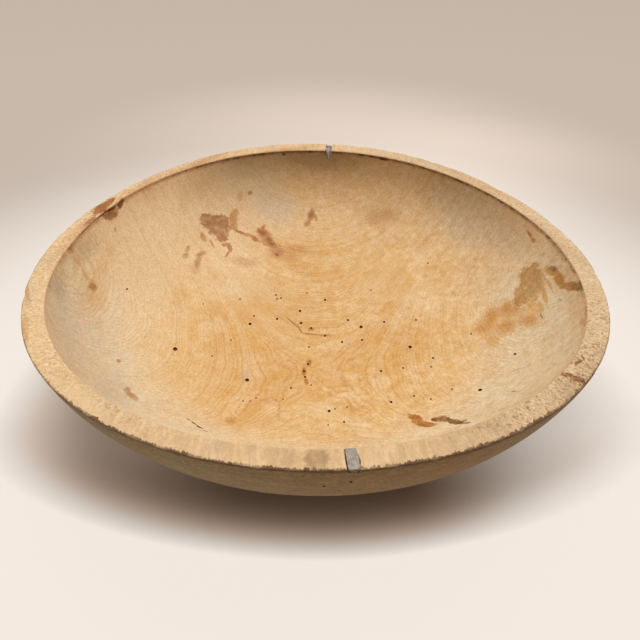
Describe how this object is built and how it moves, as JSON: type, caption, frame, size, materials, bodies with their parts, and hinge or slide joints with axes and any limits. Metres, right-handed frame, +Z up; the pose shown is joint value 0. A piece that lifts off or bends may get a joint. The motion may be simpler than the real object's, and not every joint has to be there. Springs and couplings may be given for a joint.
{
  "type": "dough bowl",
  "caption": "Wide shallow turned wooden dough bowl with a thick flat rim, dried slightly oval, with grey filled checks in the rim at the ends of the grain, standing on a flat foot.",
  "frame": {"origin": "middle of the flat foot, on the surface that the bowl stands on", "axes": "+Z up; +Y along the grain, from the front fill towards the rear fill; +X across the grain"},
  "size_m": [0.4698, 0.49, 0.133],
  "materials": {
    "bowl_wood": "dry, worn bare maple",
    "front_fill": "dull grey soft metal",
    "rear_fill": "dull pale grey soft metal"
  },
  "bodies": {
    "root": {"bowl_body": "bowl_wood", "front_rim_fill": "front_fill", "rear_rim_fill": "rear_fill"}
  },
  "joints": []
}
